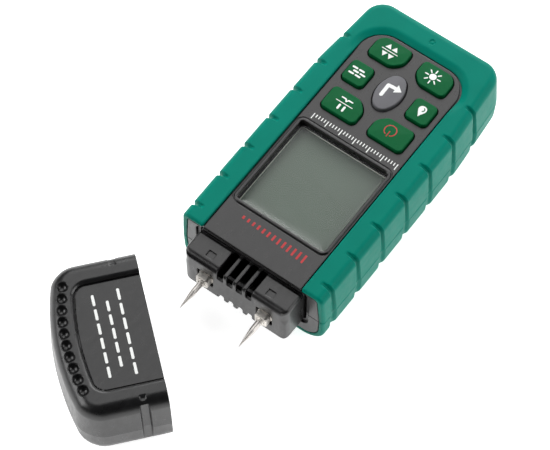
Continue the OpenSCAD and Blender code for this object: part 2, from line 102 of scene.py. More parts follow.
LENS_LAP = 1.5                               # how far the lens reaches past the window
WINDOW_HALF = ((lens_high - lens_low) / 2 - LENS_LAP)[:2]
NOSE_HALF, NOSE_LEN = 22, 10.5
NOSE_X = NEAR_X - NOSE_LEN
NOSE_Z0, NOSE_Z1, NOSE_LOW_R, NOSE_TOP_R = 9.3, 28.5, 2.0, 1.5
PIN_Y, PIN_Z = 12.5, 18
BACK_X0, BACK_X1, BACK_HALF, BACK_R = NEAR_X + 2.5, FAR_X - 5.3, 22.5, 6
END_R = 1.1                                  # edge where the skins meet the near end face

CAP_LEN, CAP_GAP, CAP_WALL, CAP_END_R = 34, 0.2, 2, 90
cap_joint = next(j for j in frame["joints"] if j["name"] == "cap_on")
CAP_POLE = np.array(cap_joint["pos_m"]) / MM
CAP_TURN = math.radians(cap_joint["range_deg"][1])

# ------------ field tools


def round_max(a, b, r):
    """Where both fields are inside, with the edge between them rounded to radius r."""
    return np.minimum(-r, np.maximum(a, b)) + np.hypot(np.maximum(a + r, 0), np.maximum(b + r, 0))


def round_min(a, b, r):
    """Where either field is inside, with the inner corner filled to radius r."""
    return -round_max(-a, -b, r)


def smooth(low, high, value):
    """0 below low, 1 above high, and an S-curve between."""
    t = np.clip((value - low) / (high - low), 0, 1)
    return t * t * (3 - 2 * t)


def rectangle(x, y, half_x, half_y, r):
    """Distance to a rectangle about the origin with corners of radius r."""
    u = np.abs(x) - half_x + r
    v = np.abs(y) - half_y + r
    return np.minimum(np.maximum(u, v), 0) + np.hypot(np.maximum(u, 0), np.maximum(v, 0)) - r


def bar(x, y, x0, x1, half_y, near_r, far_r):
    """Distance to a rectangle from x0 to x1 whose near and far corners have their own radius."""
    middle = (x0 + x1) / 2
    r = np.where(x > middle, far_r, near_r)
    return rectangle(x - middle, y, (x1 - x0) / 2, half_y, r)


def spaced(*stretches):
    """Grid lines: each stretch is (start, end, step), and each starts where the last one ended."""
    out = [np.array([stretches[0][0]], float)]
    for start, end, step in stretches:
        count = max(1, round((end - start) / step))
        out.append(np.linspace(start, end, count + 1)[1:])
    return np.concatenate(out)


def mirrored(*stretches):
    """Grid lines for y >= 0 from spaced(), and the same on the other side."""
    right = spaced(*stretches)
    return np.concatenate([-right[:0:-1], right])


def gradient(field, p, step=0.01):
    """Gradient of a field at the points p."""
    out = np.empty_like(p)
    for axis in range(3):
        a, b = p.copy(), p.copy()
        a[:, axis] += step
        b[:, axis] -= step
        out[:, axis] = (field(*a.T) - field(*b.T)) / (2 * step)
    return out


def surface_net(field, lines):
    """Vertices and quads of the surface where field is zero, on the grid of the three lines."""
    grid = np.meshgrid(*lines, indexing="ij")
    value = field(*grid)
    cells = np.array(value.shape) - 1
    totals = np.zeros((int(np.prod(cells)), 3))
    counts = np.zeros(len(totals))
    quads = []
    for axis in range(3):
        u, v = (axis + 1) % 3, (axis + 2) % 3
        low = [slice(1, -1)] * 3
        high = [slice(1, -1)] * 3
        low[axis], high[axis] = slice(None, -1), slice(1, None)
        a, b = value[tuple(low)], value[tuple(high)]
        index = np.argwhere((a < 0) != (b < 0))
        first = a[tuple(index.T)]
        t = first / (first - b[tuple(index.T)])
        index[:, u] += 1
        index[:, v] += 1
        points = np.stack([lines[i][index[:, i]] for i in range(3)], 1)
        points[:, axis] += t * (lines[axis][index[:, axis] + 1] - lines[axis][index[:, axis]])
        corners = []
        for du, dv in ((-1, -1), (0, -1), (0, 0), (-1, 0)):
            cell = index.copy()
            cell[:, u] += du
            cell[:, v] += dv
            corners.append(np.ravel_multi_index(cell.T, cells))
            for i in range(3):
                totals[:, i] += np.bincount(corners[-1], points[:, i], len(totals))
            counts += np.bincount(corners[-1], minlength=len(totals))
        corners = np.stack(corners, 1)
        outward = first < 0
        quads.append(np.where(outward[:, None], corners, corners[:, ::-1]))
    used = np.flatnonzero(counts)
    number = np.zeros(len(totals), int)
    number[used] = np.arange(len(used))
    return totals[used] / counts[used, None], number[np.concatenate(quads)]


def mesh_object(name, points, faces, normals=None):
    """Smooth-shaded object from points in millimetres."""
    mesh = bpy.data.meshes.new(name)
    mesh.from_pydata((points * MM).tolist(), [], [list(map(int, f)) for f in faces])
    mesh.polygons.foreach_set("use_smooth", [True] * len(mesh.polygons))
    if normals is not None:
        mesh.normals_split_custom_set_from_vertices(normals.tolist())
    obj = bpy.data.objects.new(name, mesh)
    bpy.context.scene.collection.objects.link(obj)
    return obj


def solid(name, field, lines, place=None, steps=5):
    """Closed mesh of a field, its points moved onto the surface, placed by a 3 x 4 matrix."""
    points, faces = surface_net(field, lines)
    room = 0.6 * max(float(np.diff(line).max()) for line in lines)
    for _ in range(steps):
        g = gradient(field, points)
        move = -field(*points.T)[:, None] * g / np.maximum((g * g).sum(1), 0.25)[:, None]
        points += np.clip(move, -room, room)
    normals = gradient(field, points)
    normals /= np.maximum(np.linalg.norm(normals, axis=1), 1e-9)[:, None]
    if place is not None:
        points = points @ place[:, :3].T + place[:, 3]
        normals = normals @ place[:, :3].T
        if np.linalg.det(place[:, :3]) < 0:
            faces = faces[:, ::-1]
    return mesh_object(name, points, faces, normals)


# ------------ materials


class Nodes:
    """A material's node tree, with short calls to add and link nodes."""

    def __init__(self, name):
        self.material = bpy.data.materials.new(name)
        self.material.use_nodes = True
        self.tree = self.material.node_tree
        self.shader = self.tree.nodes["Principled BSDF"]
        self.place = self.add("ShaderNodeTexCoord").outputs["Object"]

    def add(self, kind, links=(), **values):
        node = self.tree.nodes.new(kind)
        for key, value in values.items():
            if hasattr(node, key):
                setattr(node, key, value)
            else:
                node.inputs[key.replace("_", " ")].default_value = value
        for source, target in links:
            self.tree.links.new(source, node.inputs[target])
        return node

    def link(self, source, target):
        self.tree.links.new(source, self.shader.inputs[target])

    def plain(self, **values):
        """Sets what is the same all over the surface on the shader's own sockets."""
        for key, value in values.items():
            self.shader.inputs[key.replace("_", " ")].default_value = value

    def noise(self, scale, detail=3.0, roughness=0.55, stretch=None):
        place = self.place
        if stretch is not None:
            mapping = self.add("ShaderNodeMapping", [(place, "Vector")], Scale=stretch)
            place = mapping.outputs["Vector"]
        values = {"Scale": scale, "Detail": detail, "Roughness": roughness}
        return self.add("ShaderNodeTexNoise", [(place, "Vector")], **values).outputs["Fac"]

    def between(self, fac, low, high):
        """A value that runs from low to high as fac runs over the middle of a noise."""
        node = self.add("ShaderNodeMapRange", [(fac, "Value")])
        for socket, value in zip(("From Min", "From Max", "To Min", "To Max"), (0.3, 0.7, low, high)):
            node.inputs[socket].default_value = value
        return node.outputs["Result"]

    def colours(self, fac, first, second):
        """Mix of two linear colours by fac."""
        node = self.add("ShaderNodeMix", data_type="RGBA")
        self.tree.links.new(fac, node.inputs[0])
        node.inputs[6].default_value = (*first, 1)
        node.inputs[7].default_value = (*second, 1)
        return node.outputs[2]

    def bump(self, height, strength, distance, below=None):
        node = self.add("ShaderNodeBump", [(height, "Height")], Strength=strength, Distance=distance)
        if below is not None:
            self.tree.links.new(below, node.inputs["Normal"])
        return node.outputs["Normal"]


def linear(red, green, blue):
    """Linear colour from sRGB values of 0 to 255."""
    return [c / 255 / 12.92 if c <= 10 else ((c / 255 + 0.055) / 1.055) ** 2.4 for c in (red, green, blue)]


GRAIN_DEPTH = 0.00003


def moulded(name, colour, rough, grain=1400, vary=0.12, specular=0.5, coat=0.0):
    """Moulded plastic or rubber: fine spark-eroded grain, slight cloudiness and handling marks."""
    n = Nodes(name)
    base = linear(*colour)
    cloud = n.noise(90, 4)
    darker = [c * (1 - vary) for c in base]
    lighter = [min(1, c * (1 + vary)) for c in base]
    n.link(n.colours(n.between(cloud, 0, 1), darker, lighter), "Base Color")
    smear = n.noise(240, 6, 0.65, stretch=(1, 2.5, 1))
    n.link(n.between(smear, rough - 0.06, rough + 0.07), "Roughness")
    coarse = n.bump(n.noise(grain * 0.35, 2), 0.25, GRAIN_DEPTH * 1.5)
    n.link(n.bump(n.noise(grain, 2), 0.5, GRAIN_DEPTH, coarse), "Normal")
    n.plain(Specular_IOR_Level=specular, Coat_Weight=coat, Coat_Roughness=0.25)
    return n.material


def metal(name, colour, rough, stretch=(1, 14, 14)):
    """Metal with a fine directional finish and small tarnish clouds."""
    n = Nodes(name)
    base = linear(*colour)
    n.link(n.colours(n.between(n.noise(160, 4), 0, 1), [c * 0.86 for c in base], base), "Base Color")
    lines = n.noise(900, 3, 0.6, stretch=stretch)
    n.link(n.between(lines, rough - 0.05, rough + 0.09), "Roughness")
    n.link(n.bump(lines, 0.15, 0.000004), "Normal")
    n.plain(Metallic=1.0)
    return n.material


def printed(name, colour):
    """Screen-printed ink: slightly uneven, with a fine grain."""
    n = Nodes(name)
    base = linear(*colour)
    n.link(n.colours(n.noise(1500, 2), [c * 0.84 for c in base], base), "Base Color")
    n.link(n.between(n.noise(700, 3), 0.42, 0.6), "Roughness")
    n.link(n.bump(n.noise(2600, 2), 0.35, 0.00001), "Normal")
    return n.material


def window_material():
    """Clear window: what lies below shows through, with a soft reflection on its outer faces."""
    n = Nodes("clear_window")
    fresnel = n.add("ShaderNodeFresnel", IOR=1.5)
    inside = n.add("ShaderNodeNewGeometry").outputs["Backfacing"]
    outer = n.add("ShaderNodeMath", [(inside, 1)], operation="SUBTRACT")
    outer.inputs[0].default_value = 1.0
    factors = [(fresnel.outputs["Fac"], 0), (outer.outputs[0], 1)]
    share = n.add("ShaderNodeMath", factors, operation="MULTIPLY")
    clear = n.add("ShaderNodeBsdfTransparent", Color=(0.97, 0.985, 0.975, 1))
    ripple = n.bump(n.noise(55, 2), 0.2, 0.00008)
    shine = n.add("ShaderNodeBsdfGlossy", [(ripple, "Normal")])
    n.tree.links.new(n.between(n.noise(120, 3), 0.27, 0.31), shine.inputs["Roughness"])
    mix = n.add("ShaderNodeMixShader")
    n.tree.links.new(share.outputs[0], mix.inputs[0])
    n.tree.links.new(clear.outputs["BSDF"], mix.inputs[1])
    n.tree.links.new(shine.outputs["BSDF"], mix.inputs[2])
    n.tree.links.new(mix.outputs["Shader"], n.tree.nodes["Material Output"].inputs["Surface"])
    n.tree.nodes.remove(n.shader)
    return n.material


def display_material():
    """Reflective display cell: grey-green polariser with a fine brushed sheen."""
    n = Nodes("display_cell")
    base = linear(69, 83, 71)
    n.link(n.colours(n.between(n.noise(35, 3), 0, 1), [c * 0.93 for c in base], base), "Base Color")
    n.link(n.between(n.noise(600, 2, 0.5, stretch=(1, 20, 1)), 0.46, 0.52), "Roughness")
    return n.material


SKIN = moulded("skin_green", (0, 123, 106), 0.4, vary=0.04, specular=0.06)
CASING = moulded("casing_plastic", (21, 20, 21), 0.31, grain=1900, specular=0.6)
CAP_PLASTIC = moulded("cap_plastic", (19, 19, 20), 0.31, grain=1900, specular=0.56)
KEY_GREEN = moulded("key_green", (2, 92, 50), 0.42, grain=1100, vary=0.06, specular=0.1)
KEY_GREY = moulded("key_grey", (106, 106, 110), 0.5, grain=1100, vary=0.06, specular=0.2)
WINDOW = window_material()
DISPLAY = display_material()
STEEL = metal("bright_steel", (222, 217, 212), 0.34)
NICKEL = metal("nut_metal", (238, 234, 228), 0.5, stretch=(12, 1, 1))
BRASS = metal("brass", (205, 168, 92), 0.28)
SPRING = metal("spring_steel", (188, 188, 190), 0.26)
WHITE_INK = printed("white_ink", (250, 252, 250))
RED_INK = printed("red_ink", (190, 32, 38))
BY_SLOT = {
    "white_plastic": moulded("white_plastic", (222, 222, 214), 0.5, vary=0.04),
    "conductive_rubber": moulded("conductive_rubber", (196, 120, 148), 0.7, vary=0.1),
    "silicone": moulded("silicone", (205, 205, 196), 0.6, vary=0.05),
    "board_green": moulded("board_green", (32, 104, 58), 0.35, grain=600, vary=0.2, coat=0.4),
    "chip_black": moulded("chip_black", (34, 34, 36), 0.5, grain=2400, vary=0.15),
    "cell_wrap": moulded("cell_wrap", (196, 108, 42), 0.3, vary=0.05, coat=0.5),
    "skin_green": SKIN,
    "casing_plastic": CASING,
    "cap_plastic": CAP_PLASTIC,
    "key_green": KEY_GREEN,
    "key_grey": KEY_GREY,
    "clear_window": WINDOW,
    "display_cell": DISPLAY,
    "bright_steel": STEEL,
    "nut_metal": NICKEL,
    "brass": BRASS,
    "spring_steel": SPRING,
}


def dress(piece, material, body, replaces=()):
    """Gives a new piece its material and body, and hides the CAD nodes that it stands for."""
    piece.data.materials.clear()
    piece.data.materials.append(material)
    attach(piece, body)
    if replaces:
        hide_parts(*replaces)
    return piece


# ------------ green skins and casings


def groove_distance(x):
    """Distance along the body to the middle of the nearest grip groove."""
    from_first = x - NEAR_X - GROOVE_FIRST
    index = np.clip(np.round(from_first / GROOVE_PITCH), 0, GROOVES - 1)
    return np.abs(from_first - index * GROOVE_PITCH)


def groove_depths(distance, y, z):
    """How deep a grip groove is on the side and on the rim. It narrows towards the rim."""
    lift = smooth(SPLIT_Z + 2, RIM_Z - 1, z)
    half = np.where(z > SPLIT_Z, GROOVE_HALF - 0.4 * lift, GROOVE_REAR_HALF)
    side = GROOVE_DEPTH * (1 - smooth(0.3, 1, distance / half))
    fade = smooth(GROOVE_END_Y, GROOVE_END_Y + 1.6, widened(NEAR_X, y))
    rim = GROOVE_RIM_DEPTH * fade * (1 - smooth(0.25, 1, distance / GROOVE_RIM_HALF))
    return side, rim


def widened(x, y):
    """y moved outwards where the body tapers, so that an outline drawn straight comes out tapered."""
    past = np.maximum(x - TAPER_X, -TAPER_LEAD) + TAPER_LEAD
    belly = BELLY * np.maximum(1 - ((x - BELLY_X) / BELLY_HALF) ** 2, 0)
    return np.abs(y) + TAPER * (np.hypot(past, TAPER_SOFT) - TAPER_SOFT) - belly


def back_plan(x, y):
    """Distance to the outline of the flat plate on the back."""
    return rectangle(x - (BACK_X0 + BACK_X1) / 2, y, (BACK_X1 - BACK_X0) / 2, BACK_HALF, BACK_R)


def near_end(x, y):
    """Distance to the skins' end face, with its round upright edges."""
    return bar(x, y, NEAR_X, FAR_X + 20, HALF_W, NEAR_R, 1)


def panel_plan(x, y):
    """Distance to the outline of the dark front panel."""
    return bar(x, y, NEAR_X - 20, PANEL_FAR, PANEL_HALF, 1, PANEL_R)


def lean(z):
    """How far the sides lean in above and below the parting line."""
    return DRAFT_UP * np.maximum(z - SPLIT_Z, 0) + DRAFT_DOWN * np.maximum(SPLIT_Z - z, 0)


def body_side(x, y, z):
    """Distance to the body's upright sides. They run on past the nose end."""
    return bar(x, widened(x, y), NEAR_X - 20, FAR_X, HALF_W, 1, CORNER_R) + lean(z)


def core_side(x, y, z, shrink=0.0):
    """Distance to the upright sides of the dark core inside the skins, which lean like the outside."""
    return bar(x, widened(x, y), NEAR_X - 6, CORE_FAR, CORE_HALF, 1, CORE_R) + shrink + lean(z)


def front_skin(x, y, z):
    side_groove, rim_groove = groove_depths(groove_distance(x), y, z)
    side = body_side(x, y, z) + side_groove
    # the far part of the rim slopes down to the panel from a soft crest
    to_panel = panel_plan(x, y)
    far_part = smooth(PANEL_FAR - 16, PANEL_FAR - 7, x)
    cove = far_part * 1.5 * (1 - smooth(-0.6, 3.6, to_panel))
    # small round pip in the middle of the far rim
    from_pip = np.hypot(x - FAR_X + 6.6, y)
    pip = 0.3 * (1 - smooth(0.9, 1.3, from_pip)) - 0.22 * (1 - smooth(0.3, 0.8, from_pip))
    outer = round_max(side, z - RIM_Z + rim_groove + cove + pip, RIM_R)
    outer = round_max(outer, near_end(x, y), END_R)
    outer = round_max(outer, SPLIT_Z + SEAM - z, 0.3)
    outer = round_max(outer, 0.4 - to_panel, 0.5)
    core = round_max(core_side(x, y, z, -SEAM), z - SHOULDER_Z - SEAM, 1.5)
    return round_max(outer, -core, 0.25)


def rear_skin(x, y, z):
    side_groove, _ = groove_depths(groove_distance(x), y, z)
    fade = smooth(SKIN_BOTTOM + 1.5, SKIN_BOTTOM + 6, z)
    side = body_side(x, y, z) + side_groove * (0.35 + 0.65 * smooth(2, 12, z)) * fade
    outer = round_max(side, SKIN_BOTTOM - z, BOTTOM_R)
    outer = round_max(outer, near_end(x, y), END_R)
    outer = round_max(outer, z - SPLIT_Z + SEAM, 0.3)
    core = round_max(core_side(x, y, z, -SEAM), SKIN_BOTTOM + SKIN_T - SEAM - z, BOTTOM_R - SKIN_T)
    outer = round_max(outer, -core, 0.25)
    return round_max(outer, SEAM - back_plan(x, y), 0.3)


def groove_lines():
    """Grid lines along x, close together at each grip groove and at the nose end."""
    stretches = [(NEAR_X - 0.6, NEAR_X + 3.3, 0.3)]
    for i in range(GROOVES):
        middle = NEAR_X + GROOVE_FIRST + i * GROOVE_PITCH
        stretches.append((stretches[-1][1], middle - 2.3, 1.3))
        stretches.append((middle - 2.3, middle + 2.3, 0.24))
    stretches.append((stretches[-1][1], FAR_X - 0.8, 0.45))
    stretches.append((FAR_X - 0.8, FAR_X + 0.6, 0.3))
    return spaced(*stretches)


skin_x = groove_lines()
skin_y = mirrored((0, 1.6, 0.2), (1.6, 9.1, 1.5), (9.1, 19.9, 0.6), (19.9, 21.3, 0.2), (21.3, 24.2, 0.6),
                  (24.2, 31.1, 0.3))
front_z = spaced((SPLIT_Z - 0.2, SPLIT_Z + 0.8, 0.12), (SPLIT_Z + 0.8, 29.2, 1.0), (29.2, RIM_Z + 0.4, 0.2))
rear_z = spaced((-0.2, 1.0, 0.2), (1.0, 8.2, 0.6), (8.2, SPLIT_Z - 0.8, 0.9),
                (SPLIT_Z - 0.8, SPLIT_Z + 0.2, 0.12))

skin = solid("grip_skin_front", front_skin, (skin_x, skin_y, front_z))
dress(skin, SKIN, "meter", ["front_skin"])
skin = solid("grip_skin_rear", rear_skin, (skin_x, skin_y, rear_z))
dress(skin, SKIN, "meter", ["rear_skin"])


# ------------ keys

# name: centre from the nose end face, y, length, width, clipped corner (x side, y side) or 0
KEYS = {
    "key_max_min": (94.8, 9.4, 9.6, 13.6, -1, -1),
    "key_light": (94.8, -9.4, 9.6, 13.6, -1, 1),
    "key_material": (81, 13.6, 9.2, 8.8, 0, 0),
    "key_unit": (81, -13.6, 9.2, 8.8, 0, 0),
    "key_hold": (67.6, 9.9, 9.8, 14.4, 1, -1),
    "key_power": (67.6, -9.9, 9.8, 14.4, 1, 1),
}
KEY_R, KEY_FAR_R, KEY_CLIP, KEY_GAP = 1.8, 4.0, 3.4, 0.35
KEY_TOP = box_mm("key_light")[1][2]
KEY_FOOT = box_mm("key_light")[0][2]
KEY_CROWN, SELECT_CROWN = 0.2, 0.3
SELECT_X, SELECT_L, SELECT_W, SELECT_END_R = 81, 15.6, 9.8, 3.6
SELECT_END_X = SELECT_L / 2 - SELECT_END_R
SELECT_SIDE_R = (SELECT_END_X**2 + (SELECT_W / 2) ** 2 - SELECT_END_R**2) / (SELECT_W - 2 * SELECT_END_R)


def key_plan(key, x, y):
    """Distance to a green key's outline."""
    centre, middle_y, length, width, clip_x, clip_y = key
    u = x - NEAR_X - centre
    v = y - middle_y
    d = rectangle(u, v, length / 2, width / 2, KEY_R)
    if clip_x:
        to_corner = (length / 2 - clip_x * u) + (width / 2 - clip_y * v)
        d = round_max(d, (KEY_CLIP - to_corner) / math.sqrt(2), 1.0)
    if clip_x < 0:
        side = 1 if middle_y > 0 else -1
        a = u - length / 2 + KEY_FAR_R
        b = side * v - width / 2 + KEY_FAR_R
        corner = np.hypot(np.maximum(a, 0), np.maximum(b, 0)) - KEY_FAR_R
        d = np.maximum(d, corner)
    return d


def select_plan(x, y):
    """Distance to the oval key's outline: two round ends and two flatter arcs."""
    u = np.abs(x - NEAR_X - SELECT_X)
    v = np.abs(y)
    shift = SELECT_SIDE_R - SELECT_W / 2
    end = np.hypot(u - SELECT_END_X, v) - SELECT_END_R
    side = np.hypot(u, v + shift) - SELECT_SIDE_R
    return np.where((u - SELECT_END_X) * shift > v * SELECT_END_X, end, side)


def crowned(d, crown):
    """Height of a key's top at distance d from its outline."""
    return KEY_TOP - 0.06 - crown * smooth(-4.5, 0, d)


def key_field(plan, centre, crown, edge_r):
    """Field of one key: crowned top with round edges, hidden flange and stem."""

    def field(x, y, z):
        d = plan(x, y)
        top = z - crowned(d, crown)
        head = round_max(d, top, edge_r)
        head = np.maximum(head, ROOF_Z - 0.2 - z)
        flange = round_max(np.maximum(d - 0.6, z - ROOF_Z + 0.2), ROOF_Z - 1.2 - z, 0.15)
        stem = np.hypot(x - centre[0], y - centre[1]) - 2.2
        stem = round_max(np.maximum(stem, z - ROOF_Z + 0.5), KEY_FOOT - z, 0.3)
        return round_min(np.minimum(head, flange), stem, 0.3)

    return field


def key_lines(centre, length, width):
    """Grid lines round one key."""
    reach_x, reach_y = length / 2 + 1.2, width / 2 + 1.2
    low, high = ROOF_Z - 1.5, KEY_TOP - 1.2
    return (
        spaced((centre[0] - reach_x, centre[0] + reach_x, 0.22)),
        spaced((centre[1] - reach_y, centre[1] + reach_y, 0.22)),
        spaced((KEY_FOOT - 0.3, low, 0.5), (low, high, 0.25), (high, KEY_TOP + 0.2, 0.12)),
    )


for name, key in KEYS.items():
    centre = (NEAR_X + key[0], key[1])
    field = key_field(lambda x, y, k=key: key_plan(k, x, y), centre, KEY_CROWN, 0.4)
    cap = solid(name + "_cap", field, key_lines(centre, key[2], key[3]))
    dress(cap, KEY_GREEN, name, [name])
field = key_field(select_plan, (NEAR_X + SELECT_X, 0), SELECT_CROWN, 0.5)
cap = solid("key_select_cap", field, key_lines((NEAR_X + SELECT_X, 0), SELECT_L, SELECT_W))
dress(cap, KEY_GREY, "key_select", ["key_select"])


# ------------ dark casings


TONGUE_Y = 10                                # middle of each of the door's two tongues
SCREWS_X, SCREW_Y = (NEAR_X + 8.5, FAR_X - 9), 18.2
BAY_Z = 13.4                                 # roof of the battery bay


def window_plan(x, y, grow=0.0, r=1.4):
    """Distance to the window's outline, grown by grow."""
    return rectangle(x, y, WINDOW_HALF[0] + grow, WINDOW_HALF[1] + grow, r)


def nose_surround(y, z, grow=0.0):
    """Distance to the nose's outline seen from the end, grown by grow."""
    middle = (NOSE_Z0 + NOSE_Z1) / 2
    half = (NOSE_Z1 - NOSE_Z0) / 2
    r = np.where(z < middle, NOSE_LOW_R, NOSE_TOP_R) + grow
    return rectangle(y, z - middle, NOSE_HALF + grow, half + grow, r)


def with_doorway(shell, x, y, z):
    """A casing with its doorway for the nose, and the sunk surround that the cap's mouth meets."""
    shell = round_max(shell, -nose_surround(y, z, 0.2), 0.2)
    sunk = np.maximum(nose_surround(y, z, 1.6), x - NEAR_X - 0.9)
    return round_max(shell, -sunk, 0.25)


def front_casing(x, y, z):
    core = round_max(core_side(x, y, z, SEAM), z - SHOULDER_Z, 1.5)
    panel = round_max(panel_plan(x, y), z - PANEL_Z, 0.35)
    outer = np.minimum(core, panel)
    window = window_plan(x, y)
    # fine line and raised lip round the window
    line = round_max(np.abs(window - 1.55) - 0.2, PANEL_Z - 0.3 - z, 0.05)
    outer = round_max(outer, -line, 0.12)
    lip = round_max(window - 1.2, z - PANEL_Z - LIP_H, 0.4)
    outer = np.minimum(outer, np.maximum(lip, PANEL_Z - 1 - z))
    outer = round_max(outer, NEAR_X - x, 0.4)
    outer = round_max(outer, SPLIT_Z + SEAM - z, 0.2)
    hollow = round_max(core_side(x, y, z, SEAM + WALL), z - ROOF_Z, 1)
    hollow = np.maximum(hollow, NEAR_X + WALL - x)
    outer = np.maximum(outer, -hollow)
    outer = round_max(outer, -window, 0.4)
    for key in KEYS.values():
        outer = round_max(outer, KEY_GAP - key_plan(key, x, y), 0.25)
    outer = round_max(outer, KEY_GAP - select_plan(x, y), 0.25)
    return with_doorway(outer, x, y, z)


def rear_casing(x, y, z):
    core = round_max(core_side(x, y, z, SEAM), SKIN_BOTTOM + SKIN_T - z, BOTTOM_R - SKIN_T)
    core = round_max(core, NEAR_X - x, 0.4)
    plate = round_max(np.maximum(back_plan(x, y), z - 4), -z, 0.5)
    outer = np.minimum(core, plate)
    outer = round_max(outer, z - SPLIT_Z + SEAM, 0.2)
    hollow = round_max(core_side(x, y, z, SEAM + WALL), SKIN_BOTTOM + SKIN_T + WALL - z, 3)
    hollow = np.maximum(hollow, NEAR_X + WALL - x)
    shell = np.maximum(outer, -hollow)
    bay_mid = (door_low[0] + door_high[0] + 2.5) / 2
    bay_half = ((door_high - door_low - [5.5, 2, 0]) / 2)[:2]
    wall = rectangle(x - bay_mid, y, bay_half[0] + 1.5, bay_half[1] + 1.5, 1.5)
    wall = round_max(wall, z - BAY_Z - 1, 0.5)
    shell = np.minimum(shell, np.maximum(wall, 1 - z))
    bay = np.maximum(rectangle(x - bay_mid, y, bay_half[0], bay_half[1], 0.3), z - BAY_Z)
    shell = round_max(shell, -bay, 0.2)
    rebate = rectangle(x - bay_mid, y, bay_half[0] + 1.3, bay_half[1] + 1.3, 1.2)
    shell = round_max(shell, -np.maximum(rebate, z - 2.5), 0.3)
    for tongue_y in (-TONGUE_Y, TONGUE_Y):
        pocket = rectangle(x - door_low[0] - 1.5, y - tongue_y, 3.5, 3.4, 0.3)
        shell = np.maximum(shell, -np.maximum(pocket, np.abs(z - 4) - 2))
    for screw_x in SCREWS_X:
        away = np.hypot(x - screw_x, np.abs(y) - SCREW_Y)
        post = np.maximum(away - 4.2, np.abs(z - 9.6) - 6.3)
        shell = np.minimum(shell, post)
        shell = round_max(shell, 1.6 - away, 0.1)
        shell = round_max(shell, -np.maximum(away - 3.1, z - 4), 0.3)
    return with_doorway(shell, x, y, z)


casing_x = spaced(
    (NEAR_X - 0.3, NEAR_X + 3, 0.18), (NEAR_X + 3, -22.6, 1.1), (-22.6, -18, 0.2), (-18, 18, 1.5),
    (18, 22.6, 0.2), (22.6, 26.5, 0.6), (26.5, FAR_X - 10.4, 0.3), (FAR_X - 10.4, FAR_X, 0.4),
)
casing_y = mirrored((0, 17.6, 0.3), (17.6, 22.2, 0.2), (22.2, 26.6, 0.7), (26.6, 28.6, 0.25))
casing_z = spaced((SPLIT_Z - 0.2, SPLIT_Z + 0.8, 0.2), (SPLIT_Z + 0.8, 28, 1.2), (28, PANEL_Z - 1.2, 0.35),
                  (PANEL_Z - 1.2, PANEL_Z + 0.7, 0.12))
shell = solid("casing_front", front_casing, (casing_x, casing_y, casing_z))
dress(shell, CASING, "meter", ["front_casing"])

back_x = spaced((NEAR_X - 0.3, NEAR_X + 3.2, 0.22), (NEAR_X + 3.2, -22.2, 0.5), (-22.2, 5, 1.2),
                (5, 15, 0.4), (15, 60, 1.2), (60, FAR_X - 4.6, 0.4), (FAR_X - 4.6, FAR_X, 0.5))
back_y = mirrored((0, 6, 0.8), (6, 14, 0.4), (14, 23.2, 0.3), (23.2, 28.7, 0.5))
back_z = spaced((-0.2, 5, 0.22), (5, 15, 0.6), (15, SPLIT_Z + 0.2, 0.2))
shell = solid("casing_rear", rear_casing, (back_x, back_y, back_z))
dress(shell, CASING, "meter", ["rear_casing"])


# ------------ nose block

VENT_W, VENT_PITCH, VENT_HALF = 2.6, 4, 8.4


def nose_block(x, y, z):
    # upright front corners and the long upper front edge are well rounded
    front_r = 1.2 + 1.6 * smooth(NOSE_Z1 - 9, NOSE_Z1 - 5, z)
    block = round_max(nose_surround(y, z), NOSE_X - x, front_r)
    corner = rectangle(x - NOSE_X - 12, y, 12, NOSE_HALF, 3.2)
    block = round_max(block, corner, 1.2)
    block = np.maximum(block, x - NEAR_X - 4)
    flange = np.maximum(nose_surround(y, z, 1.9), np.abs(x - NEAR_X - 3) - 1)
    block = np.minimum(block, flange)
    # chamber behind the vents
    chamber = rectangle(x - NOSE_X - 12, y, 10.4, VENT_HALF, 0.5)
    block = np.maximum(block, -np.maximum(chamber, np.abs(z - 20) - 6.5))
    # four slots run over the top and down the front, and their ribs stand a little lower
    nearest = np.clip(np.round(y / VENT_PITCH - 0.5), -2, 1) + 0.5
    across = np.abs(y - nearest * VENT_PITCH) - VENT_W / 2
    slot = round_max(across, NOSE_Z1 - 5.2 - z, 0.6)
    slot = np.maximum(slot, x - NEAR_X - 0.2)
    rib_drop = 0.7 * smooth(VENT_HALF + 0.1, VENT_HALF - 0.9, np.abs(y) + 1)
    sunk = np.maximum(NOSE_Z1 - rib_drop - z, np.abs(y) - VENT_HALF + 1.1)
    block = round_max(block, -np.maximum(sunk, x - NEAR_X - 0.2), 0.25)
    block = round_max(block, -slot, 0.3)
    # shadow groove where the nose top meets the end of the panel
    step = np.maximum(np.abs(x - NEAR_X + 0.3) - 0.7, NOSE_Z1 - 1.5 - z)
    block = round_max(block, -step, 0.15)
    # scallops along the lower front edge, in line with the slots
    scallop = round_max(across + 0.15, z - NOSE_Z0 - 3.2, 0.8)
    scallop = np.maximum(scallop, x - NOSE_X - 2.2)
    block = round_max(block, -scallop, 0.4)
    # square pockets round the nuts, and the holes that the sockets sit in
    beside = np.abs(y) - PIN_Y
    pocket = rectangle(beside, z - PIN_Z - 0.3, 3.3, 3.5, 0.8)
    pocket = np.maximum(pocket, x - NOSE_X - 1.6)
    block = round_max(block, -pocket, 0.4)
    hole = np.hypot(beside, z - PIN_Z) - 3.05
    block = np.maximum(block, -hole)
    # small square snap recesses on top
    snap = rectangle(x - NEAR_X + 6, np.abs(y) - 12.6, 1.3, 1.5, 0.3)
    return round_max(block, -np.maximum(snap, NOSE_Z1 - 0.55 - z), 0.12)


